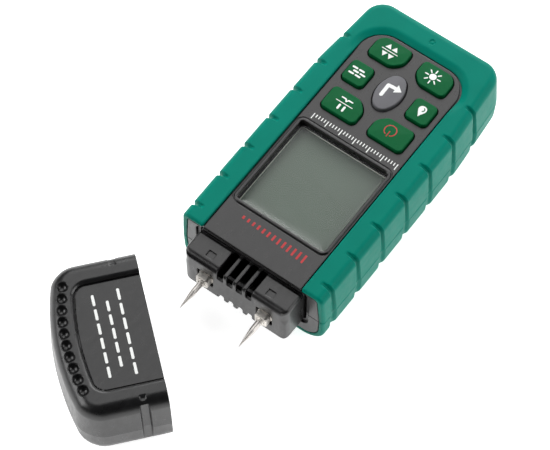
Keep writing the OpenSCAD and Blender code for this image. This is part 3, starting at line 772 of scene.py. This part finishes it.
nose_x = spaced((NOSE_X - 0.4, NEAR_X, 0.2), (NEAR_X, NEAR_X + 4.6, 0.5))
nose_y = mirrored((0, 9, 0.2), (9, 16.5, 0.25), (16.5, 21, 0.5), (21, 24.6, 0.3))
nose_z = spaced((NOSE_Z0 - 2.6, NOSE_Z0 - 0.4, 0.5), (NOSE_Z0 - 0.4, 26, 0.35), (26, 30.8, 0.2))
nose = solid("nose_housing", nose_block, (nose_x, nose_y, nose_z))
dress(nose, CASING, "meter", ["nose_block"])


# ------------ cap


def cap_solid(u, v, z, sides, heights, radii):
    """Cap form with its mouth at u = 0 and its bowed end towards +u.

    sides is (length, half width), heights (low, high), radii (low edge, top edge, end corner).
    """
    length, half = sides
    end = np.hypot(u - length + CAP_END_R, v) - CAP_END_R
    plan = round_max(np.abs(v) - half, end, radii[2]) + lean(z)
    return round_max(round_max(plan, z - heights[1], radii[1]), heights[0] - z, radii[0])


CAP_TOP = RIM_Z - 0.5
CAP_PANEL_Z = CAP_TOP - 1.3
CAP_HALF = HALF_W - 0.5
CAP_HOLLOW_Z = (2.2, 28.85)
CAP_PANEL_LEN, CAP_PANEL_END_R = 25, 100
DIMPLE_ARC_R, DIMPLE_ARC_U = 78, 29.2        # radius of the dimples' arc, and how far it is from the mouth
DIMPLE_R, DIMPLE_STEP = 1.85, math.radians(3.24)
DIMPLE_SHIFT = 0.7                           # of a step, from the middle to the first dimple


def cap_shell(u, v, z):
    # one flat-bottomed groove runs down each side, in line with the body's grooves
    distance = np.abs(u - (GROOVE_PITCH - GROOVE_FIRST))
    side_groove = 1.2 * (1 - smooth(0.62, 1, distance / 1.9))
    rim_fade = smooth(GROOVE_END_Y, GROOVE_END_Y + 1.6, np.abs(v))
    rim_groove = GROOVE_RIM_DEPTH * rim_fade * (1 - smooth(0.4, 1, distance / 1.6))
    outer = cap_solid(u, v, z, (CAP_LEN + 0.2, CAP_HALF), (0, CAP_TOP), (BOTTOM_R, 4.5, 7.5))
    fade = smooth(0, 2.5, z)
    outer = np.maximum(outer, np.abs(v) - CAP_HALF + side_groove * fade + lean(z))
    outer = np.maximum(outer, z - CAP_TOP + rim_groove)
    # faint mould line at the height of the body's parting line
    outer = outer + 0.06 * (1 - smooth(0.05, 0.2, np.abs(z - SPLIT_Z)))
    # sunk panel: a soft crest runs down to it and ends in a crisp inner corner
    end = np.hypot(u - CAP_PANEL_LEN + CAP_PANEL_END_R, v) - CAP_PANEL_END_R
    panel = round_max(np.abs(v) - PANEL_HALF, end, 4)
    sunk = np.maximum(panel + 0.45 * (CAP_TOP - z), CAP_PANEL_Z - z)
    outer = round_max(outer, -sunk, 1.4)
    outer = round_max(outer, -np.maximum(panel + 0.2, CAP_PANEL_Z - z), 0.1)
    line = np.maximum(np.abs(panel + 0.4) - 0.2, CAP_PANEL_Z - 0.35 - z)
    outer = round_max(outer, -line, 0.08)
    # arc of round dimples
    arc_u = u - DIMPLE_ARC_U + DIMPLE_ARC_R
    nearest = np.clip(np.round(np.arctan2(v, arc_u) / DIMPLE_STEP - DIMPLE_SHIFT), -5, 4) + DIMPLE_SHIFT
    du = arc_u - DIMPLE_ARC_R * np.cos(nearest * DIMPLE_STEP)
    dv = v - DIMPLE_ARC_R * np.sin(nearest * DIMPLE_STEP)
    dimple = np.sqrt(du**2 + dv**2 + (z - CAP_TOP - 0.1) ** 2) - DIMPLE_R
    outer = round_max(outer, -dimple, 0.35)
    outer = round_max(outer, -u, 0.3)
    hollow = cap_solid(u, v, z, (CAP_LEN - 2.5, HALF_W - CAP_WALL - 0.3), CAP_HOLLOW_Z, (5, 1.5, 8))
    return round_max(outer, -hollow, 0.3)


# the fitted cap's mouth faces +X, and the cap lies turned about its pole
turn = Matrix.Rotation(-CAP_TURN, 3, "Z")
fitted = np.array([[-1, 0, 0, NEAR_X - CAP_GAP], [0, 1, 0, 0], [0, 0, 1, 0]], float)
lying = np.array(turn) @ fitted
lying[:2, 3] += CAP_POLE[:2] - (np.array(turn) @ [CAP_POLE[0], CAP_POLE[1], 0])[:2]

cap_u = spaced((-0.4, 0.8, 0.2), (0.8, 6, 0.8), (6, 10.8, 0.25), (10.8, 22.5, 0.7),
               (22.5, CAP_LEN + 0.5, 0.26))
cap_v = mirrored((0, 19, 0.3), (19, 22.5, 0.25), (22.5, 31.1, 0.3))
cap_z = spaced((-0.3, 3, 0.4), (3, 15, 0.7), (15, 15.7, 0.2), (15.7, 16.3, 0.08), (16.3, 17, 0.2),
               (17, 28.4, 0.7), (28.4, RIM_Z + 0.3, 0.2))
cap = solid("cover_shell", cap_shell, (cap_u, cap_v, cap_z), place=lying)
dress(cap, CAP_PLASTIC, "cap", ["cap_shell"])


# ------------ display

LENS_LOW, LENS_TOP = lens_low[2], ROOF_Z


def display_lens(x, y, z):
    outline = window_plan(x, y, LENS_LAP, 1.5)
    inwards = -window_plan(x, y)
    # the lens is sunk in the middle and curls up at its edges, most of all at the near edge
    near = smooth(-2, 17, -x)
    wide = 1.8 + 2.4 * near + 1.3 * near * smooth(-6, 18, -y)
    dip = 0.35 + 0.57 * near
    rise = np.maximum(round_max(wide - inwards, 0.02 * inwards, 0.5) / wide, 0)
    sunk = np.maximum(dip * (1 - rise**1.7), 0)
    return round_max(round_max(outline, z - LENS_TOP + 0.05 + sunk, 0.1), LENS_LOW - z, 0.1)


lens_x = spaced((-21, -13, 0.2), (-13, 13, 0.8), (13, 21, 0.2))
lens_y = spaced((-20.4, -13, 0.2), (-13, 13, 0.8), (13, 20.4, 0.2))
lens_z = spaced((LENS_LOW - 0.3, LENS_LOW + 0.2, 0.1), (LENS_LOW + 0.2, LENS_TOP + 0.3, 0.2))
lens_piece = solid("window_lens", display_lens, (lens_x, lens_y, lens_z))
dress(lens_piece, WINDOW, "meter", ["display_lens"])


def display_mask(x, y, z):
    """Black frame round the display, under the lens."""
    border = round_max(window_plan(x, y, 1.4, 1), -window_plan(x, y, -0.3, 1), 0.05)
    return round_max(border, np.abs(z - LENS_LOW + 0.32) - 0.22, 0.04)


def painted_glint_ring(x, y, z):
    """Thin pale ring round the display under the lens, a painted highlight that stands in for the glint along the
    lens edge.
    """
    ring = np.abs(window_plan(x, y, -0.42, 0.9)) - 0.12
    return round_max(ring, np.abs(z - LENS_LOW + 0.33) - 0.2, 0.04)


mask_x = spaced((-20.9, -18.5, 0.1), (-18.5, 18.5, 0.8), (18.5, 20.9, 0.1))
mask_y = spaced((-20.3, -17.8, 0.1), (-17.8, 17.8, 0.8), (17.8, 20.3, 0.1))
mask_z = spaced((LENS_LOW - 0.7, LENS_LOW, 0.1))
mask = solid("display_mask", display_mask, (mask_x, mask_y, mask_z))
dress(mask, BY_SLOT["chip_black"], "meter")
# pale ring under the lens: a painted highlight in place of the glint along the lens edge
glint_ring_x = spaced((-19.4, -17, 0.1), (-17, 17, 0.8), (17, 19.4, 0.1))
glint_ring_y = spaced((-18.8, -16.6, 0.1), (-16.6, 16.6, 0.8), (16.6, 18.8, 0.1))
ring = solid("painted_glint_ring", painted_glint_ring, (glint_ring_x, glint_ring_y, mask_z))
dress(ring, BY_SLOT["white_plastic"], "meter")


# ------------ pins and nuts


def turned(name, profile, place, segments=64):
    """Closed piece turned about its own Z axis from (radius, height) points, first and last at radius 0."""
    points = [(0.0, 0.0, profile[0][1])]
    faces = []
    for radius, height in profile[1:-1]:
        for i in range(segments):
            angle = 2 * math.pi * i / segments
            points.append((radius * math.cos(angle), radius * math.sin(angle), height))
    points.append((0.0, 0.0, profile[-1][1]))
    last = len(points) - 1
    rings = len(profile) - 2
    for i in range(segments):
        j = (i + 1) % segments
        faces.append((0, 1 + j, 1 + i))
        for k in range(rings - 1):
            low = 1 + k * segments
            faces.append((low + i, low + j, low + segments + j, low + segments + i))
        top = 1 + (rings - 1) * segments
        faces.append((top + i, top + j, last))
    moved = np.array(points) @ place[:, :3].T + place[:, 3]
    return mesh_object(name, moved, faces)


def needle_profile(base, tip):
    """Electrode: plain root, small shoulder, short shank, then a long fine point."""
    out = [(0, 0), (1.1, 0), (1.2, 0.15), (1.2, base), (1.18, base + 0.1), (1.16, base + 0.5)]
    length = tip - base - 0.5
    steps = 24
    for i in range(1, steps):
        t = i / steps
        out.append((1.16 * min(1, (1 - t) / 0.72) ** 0.85, base + 0.5 + t * length))
    return out + [(0, tip)]


pin_low, pin_high = box_mm("pin_left")
nut_low, nut_high = box_mm("pin_nuts")
for node, side in (("pin_left", 1), ("pin_right", -1)):
    place = np.array([[0, 0, -1, pin_high[0]], [0, 1, 0, side * PIN_Y], [1, 0, 0, PIN_Z]], float)
    base = pin_high[0] - nut_low[0] + 0.05
    pin = turned(node + "_needle", needle_profile(base, pin_high[0] - pin_low[0]), place)
    dress(pin, STEEL, "meter", [node])


def pin_nut(x, y, z):
    """Square nuts with rounded corners and a turned collar at the outer face."""
    beside = np.abs(y) - PIN_Y
    middle = (nut_low[0] + nut_high[0]) / 2
    half = (nut_high[0] - nut_low[0]) / 2
    away = np.hypot(beside, z - PIN_Z)
    block = rectangle(beside, z - PIN_Z, 2.46, 2.46, 0.6)
    block = round_max(block, away - 3.0, 0.2)
    block = round_max(block, np.abs(x - middle - 0.35) - half + 0.4, 0.25)
    collar = round_max(away - 1.75, np.abs(x - middle) - half, 0.2)
    return round_max(round_min(block, collar, 0.1), 1.22 - away, 0.12)


nut_y = np.concatenate([spaced((-15.3, -9.7, 0.16)), spaced((9.7, 15.3, 0.16))])
nut_grid = (spaced((nut_low[0] - 0.3, nut_high[0] + 0.3, 0.14)), nut_y, spaced((15.2, 20.8, 0.16)))
dress(solid("pin_nut_pair", pin_nut, nut_grid), NICKEL, "meter", ["pin_nuts"])


# ------------ battery door


def battery_door(x, y, z):
    """Door with two tongues, grip ridges, a finger hollow and crowned edges."""
    mid = (door_low[0] + 3.5 + door_high[0]) / 2
    half_x = (door_high[0] - door_low[0] - 3.5) / 2
    half_y = door_high[1]
    outline = rectangle(x - mid, y, half_x, half_y, 1)
    plate = round_max(round_max(outline, z - 2.2, 0.2), 0.2 - z, 0.45)
    tongue = rectangle(x - door_low[0] - 2.2, np.abs(y) - TONGUE_Y, 2.2, 3, 0.3)
    tongue = round_max(tongue, np.abs(z - 2.9) - 0.6, 0.2)
    riser = rectangle(x - door_low[0] - 3.95, np.abs(y) - TONGUE_Y, 0.45, 3, 0.1)
    riser = np.maximum(riser, np.abs(z - 2.35) - 1.15)
    door = np.minimum(plate, round_min(tongue, riser, 0.15))
    hollow = np.hypot(x - door_high[0] + 5, z + 6.6) - 8
    hollow = round_max(hollow, np.abs(y) - 7, 0.5)
    door = round_max(door, -hollow, 0.3)
    # arrow-shaped row of ridges that the thumb pushes against
    row = x - door_high[0] + 11 + 0.35 * np.abs(y)
    nearest = np.clip(np.round(row / 1.6), -2, 2) * 1.6
    ridge = round_max(np.abs(row - nearest) - 0.4, np.abs(y) - 6.5, 0.3)
    return round_max(door, -round_max(ridge, z - 0.6, 0.1), 0.15)


door_x = spaced((door_low[0] - 0.3, 12.5, 0.3), (12.5, 44, 1.5), (44, door_high[0] + 0.4, 0.22))
door_y = mirrored((0, 7.5, 0.25), (7.5, 13.5, 0.4), (13.5, door_high[1] + 0.4, 0.3))
door = solid("bay_door", battery_door, (door_x, door_y, spaced((-0.1, 4, 0.2))))
dress(door, CASING, "door", ["battery_door"])


# ------------ printed marks

INK = 0.03                                   # how far a mark stands above the surface it lies on


def stroke(r, s, start, end, half):
    """Distance to a straight round-ended stroke."""
    length = math.dist(start, end)
    ux, uy = (end[0] - start[0]) / length, (end[1] - start[1]) / length
    along = np.clip((r - start[0]) * ux + (s - start[1]) * uy, 0, length)
    return np.hypot(r - start[0] - along * ux, s - start[1] - along * uy) - half


def strokes(r, s, half, *ends):
    """Distance to the nearest of several strokes of one width."""
    return np.minimum.reduce([stroke(r, s, start, end, half) for start, end in ends])


def triangle(r, s, centre, half, height, point=1):
    """Distance to a triangle that points up (1) or down (-1), its base half as wide as given."""
    u = np.abs(r - centre[0])
    v = point * (s - centre[1])
    slope = math.hypot(height, half)
    return np.maximum(-v - height / 2, (u * height + (v - height / 2) * half) / slope)


def ink(name, plan, top, area, material, body, step=0.1, place=None):
    """Thin printed piece in area (x0, x1, y0, y1), where top(x, y) is the height of the surface."""
    x0, x1, y0, y1 = area
    heights = top(*np.meshgrid(np.linspace(x0, x1, 30), np.linspace(y0, y1, 30)))
    low, high = float(heights.min()) - 0.25, float(heights.max()) + 0.15

    def field(x, y, z):
        level = top(x, y)
        return np.maximum(np.maximum(plan(x, y), z - level - INK), level - 0.12 - z)

    lines = (spaced((x0, x1, step)), spaced((y0, y1, step)), spaced((low, high, 0.05)))
    return dress(solid(name, field, lines, place=place, steps=8), material, body)


def max_min_mark(r, s):
    d = stroke(r, s, (-3.0, 0), (3.4, 0), 0.17)
    for point in (1, -1):
        for middle in (-1.1, 1.5):
            d = np.minimum(d, triangle(r, s, (middle, 1.9 * point), 1.2, 2.0, point))
    return d


def sun_mark(r, s):
    rays = [(math.cos(i * math.pi / 4), math.sin(i * math.pi / 4)) for i in range(8)]
    ends = [((1.95 * u, 1.95 * v), (3.0 * u, 3.0 * v)) for u, v in rays]
    return np.minimum(np.hypot(r, s) - 1.35, strokes(r, s, 0.27, *ends))


def planks_mark(r, s):
    r, s = r / 1.15, s / 1.15
    ends = []
    for level, shift in ((-1.15, 0.5), (0, -0.5), (1.15, 0.5)):
        ends.append(((-1.9 + shift, level), (-0.5 + shift, level)))
        ends.append(((0.5 + shift, level), (1.9 + shift, level)))
    return strokes(r, s, 0.33, *ends)


def drop_mark(r, s):
    r, s = r / 1.25, s / 1.25
    ball = np.hypot(r, s + 0.6) - 1.25
    tip = triangle(r, s, (0, 0.95), 1.18, 2.2)
    hole = np.abs(np.hypot(r, s + 0.6) - 0.6) - 0.17
    return np.maximum(np.minimum(ball, tip), -np.maximum(hole, r + 0.1))


def hold_mark(r, s):
    bars = strokes(r, s, 0.42, ((-1.0, 1.2), (-1.0, 2.7)), ((1.0, 1.2), (1.0, 2.7)))
    bends = [(-2.2, -2.0), (-0.6, -2.0), (0, -1.1), (0.6, -2.0), (2.2, -2.0)]
    pulse = strokes(r, s, 0.27, *zip(bends, bends[1:]))
    line = stroke(r, s, (-3.4, 0), (3.4, 0), 0.17)
    return np.minimum.reduce([bars, pulse, line])


def power_mark(r, s):
    ring = np.abs(np.hypot(r, s) - 2.2) - 0.2
    gap = np.maximum(np.abs(r) - 0.75, -s)
    return np.minimum(np.maximum(ring, -gap), stroke(r, s, (0, 0.4), (0, 2.6), 0.2))


def bent_arrow_mark(r, s):
    shaft = strokes(r, s, 0.72, ((1.8, 2.5), (1.9, -2.1)), ((1.9, -2.1), (-1.2, -2.3)))
    head = triangle(s, -r, (-2.3, 2.3), 1.9, 2.4)
    return np.minimum(shaft, head)


MARKS = {
    "key_max_min": (max_min_mark, "white", 0, 0),
    "key_light": (sun_mark, "white", 0.2, 0.6),
    "key_material": (planks_mark, "white", 0, 0),
    "key_unit": (drop_mark, "white", 0, 0),
    "key_hold": (hold_mark, "white", 0, 0),
    "key_power": (power_mark, "red", 0.5, 0.4),
}
INKS = {"white": WHITE_INK, "red": RED_INK}


def key_top(plan, crown):
    return lambda x, y: crowned(plan(x, y), crown)


for name, (mark, colour, shift_x, shift_y) in MARKS.items():
    key = KEYS[name]
    cx, cy = NEAR_X + key[0] + shift_x, key[1] + shift_y
    plan = (lambda x, y, m=mark, a=cx, b=cy: m(y - b, a - x))
    top = key_top(lambda x, y, k=key: key_plan(k, x, y), KEY_CROWN)
    ink(name + "_mark", plan, top, (cx - 3.9, cx + 3.9, cy - 4.1, cy + 4.1), INKS[colour], name)
cx = NEAR_X + SELECT_X
ink("key_select_mark", lambda x, y: bent_arrow_mark(y, cx - x), key_top(select_plan, SELECT_CROWN),
    (cx - 4.9, cx + 4.9, -4.4, 3.4), WHITE_INK, "key_select")


def panel_level(x, y):
    return PANEL_Z + 0 * x


def scale_mark(x, y):
    """Graduated line: thirty-one short ticks, with every fifth one longer."""
    along, pitch = y + 19, 1.18
    index = np.clip(np.round(along / pitch), 0, 30)
    across = np.abs(along - index * pitch) - 0.2
    tall = np.where(index % 5 == 0, 1.3, 0.7)
    return np.maximum(across, np.abs(x - NEAR_X - 59.3 + tall) - tall)


def level_mark(x, y):
    """Row of narrow blocks that grow from one end to the other."""
    along, pitch = y + 14.6, 2.18
    index = np.clip(np.round(along / pitch), 0, 12)
    across = np.abs(along - index * pitch) - 0.42
    tall = 1.75 - 0.09 * index
    return np.maximum(across, np.abs(x - NEAR_X - 11.8 + tall) - tall)


area = (NEAR_X + 56, NEAR_X + 60, -20, 17.4)
ink("graduated_line", scale_mark, panel_level, area, WHITE_INK, "meter")
area = (NEAR_X + 7.6, NEAR_X + 12.6, -15.8, 12.8)
ink("level_blocks", level_mark, panel_level, area, RED_INK, "meter", 0.11)

# three rows of plain bars on the cap's sunk panel: distance from the mouth, half length, number of bars
CAP_ROWS = ((17.3, 16.4, 6), (12.8, 13.2, 5), (8.5, 17.0, 6))


def cap_rows(u, v):
    d = 9 + 0 * u
    for place_u, half, count in CAP_ROWS:
        pitch = 2 * half / count
        index = np.clip(np.floor((v + half) / pitch), 0, count - 1)
        middle = -half + (index + 0.5) * pitch
        d = np.minimum(d, rectangle(u - place_u, v - middle, 0.5, pitch / 2 - 0.6, 0.45))
    return d


def cap_level(u, v):
    return CAP_PANEL_Z + 0 * u


ink("cap_bars", cap_rows, cap_level, (7, 18.8, -18, 18), WHITE_INK, "cap", 0.13, place=lying)


# ------------ CAD nodes that stay

for subpart in frame["record"]["subparts"]:
    node = frame["nodes"][subpart["node"]]
    node.data.materials.clear()
    node.data.materials.append(BY_SLOT[subpart["material_slot"]])

# ------------ stage, light, camera


def floor_material():
    n = Nodes("floor")
    n.link(n.colours(n.noise(6, 3), (0.93, 0.93, 0.93), (0.95, 0.95, 0.95)), "Base Color")
    n.plain(Roughness=0.7, Specular_IOR_Level=0.2)
    n.plain(Emission_Color=(1, 1, 1, 1), Emission_Strength=0.88)
    return n.material


bpy.ops.mesh.primitive_plane_add(size=6)
floor = bpy.context.object
floor.name = "floor"
floor.data.materials.append(floor_material())


def area_light(name, place, aim, size, power):
    """Soft rectangular light at place, pointing at aim, sizes in metres."""
    light = bpy.data.lights.new(name, "AREA")
    light.shape = "RECTANGLE"
    light.size, light.size_y = size
    light.energy = power
    obj = bpy.data.objects.new(name, light)
    obj.location = place
    obj.rotation_euler = (Vector(aim) - Vector(place)).to_track_quat("-Z", "Y").to_euler()
    bpy.context.scene.collection.objects.link(obj)
    return obj


# Light comes from soft boxes at both sides, a wide faint one overhead that gives flat tops their
# sheen, and a low one behind. The camera's own side is dark, so edges turned towards it go dark.
area_light("left_light_box", (-0.62, 0.86, 0.72), (0, 0, 0), (0.9, 0.7), 9)
area_light("right_light_box", (0.62, -0.86, 0.72), (0, 0, 0), (0.9, 0.7), 7)
area_light("top_light_box", (0.64, 0.49, 1.4), (0, 0, 0), (1.25, 1.25), 9.5)
area_light("far_light_box", (1.0, 0.38, 0.62), (0, 0, 0), (1.1, 0.52), 10)

world = bpy.data.worlds.new("studio")
world.use_nodes = True
sky = world.node_tree
direction = sky.nodes.new("ShaderNodeTexCoord")
height = sky.nodes.new("ShaderNodeSeparateXYZ")
fall = sky.nodes.new("ShaderNodeMapRange")
fall.interpolation_type = "SMOOTHSTEP"
for socket, value in zip(("From Min", "From Max", "To Min", "To Max"), (0.02, 0.26, 0.75, 0.02)):
    fall.inputs[socket].default_value = value
sky.links.new(direction.outputs["Generated"], height.inputs["Vector"])
sky.links.new(height.outputs["Z"], fall.inputs["Value"])
sky.links.new(fall.outputs["Result"], sky.nodes["Background"].inputs["Strength"])
sky.nodes["Background"].inputs["Color"].default_value = (1, 1, 1, 1)
bpy.context.scene.world = world

CAMERA_AIM = Vector((-13.1, 6.56, 15)) * MM
CAMERA_AWAY, CAMERA_TURN, CAMERA_TILT = 0.8386, math.radians(37.3), math.radians(60.76)
CAMERA_ROLL = math.radians(-1.0)
flat = math.cos(CAMERA_TILT)
back = Vector((-math.cos(CAMERA_TURN) * flat, -math.sin(CAMERA_TURN) * flat, math.sin(CAMERA_TILT)))
lens = bpy.data.cameras.new("camera")
lens.sensor_width = 36
lens.lens = 157.8
lens.clip_end = 20
camera = bpy.data.objects.new("camera", lens)
camera.location = CAMERA_AIM + back * CAMERA_AWAY
camera.rotation_euler = (back.to_track_quat("Z", "Y") @ Quaternion((0, 0, 1), CAMERA_ROLL)).to_euler()
bpy.context.scene.collection.objects.link(camera)
bpy.context.scene.camera = camera
bpy.context.scene.view_settings.view_transform = "Standard"
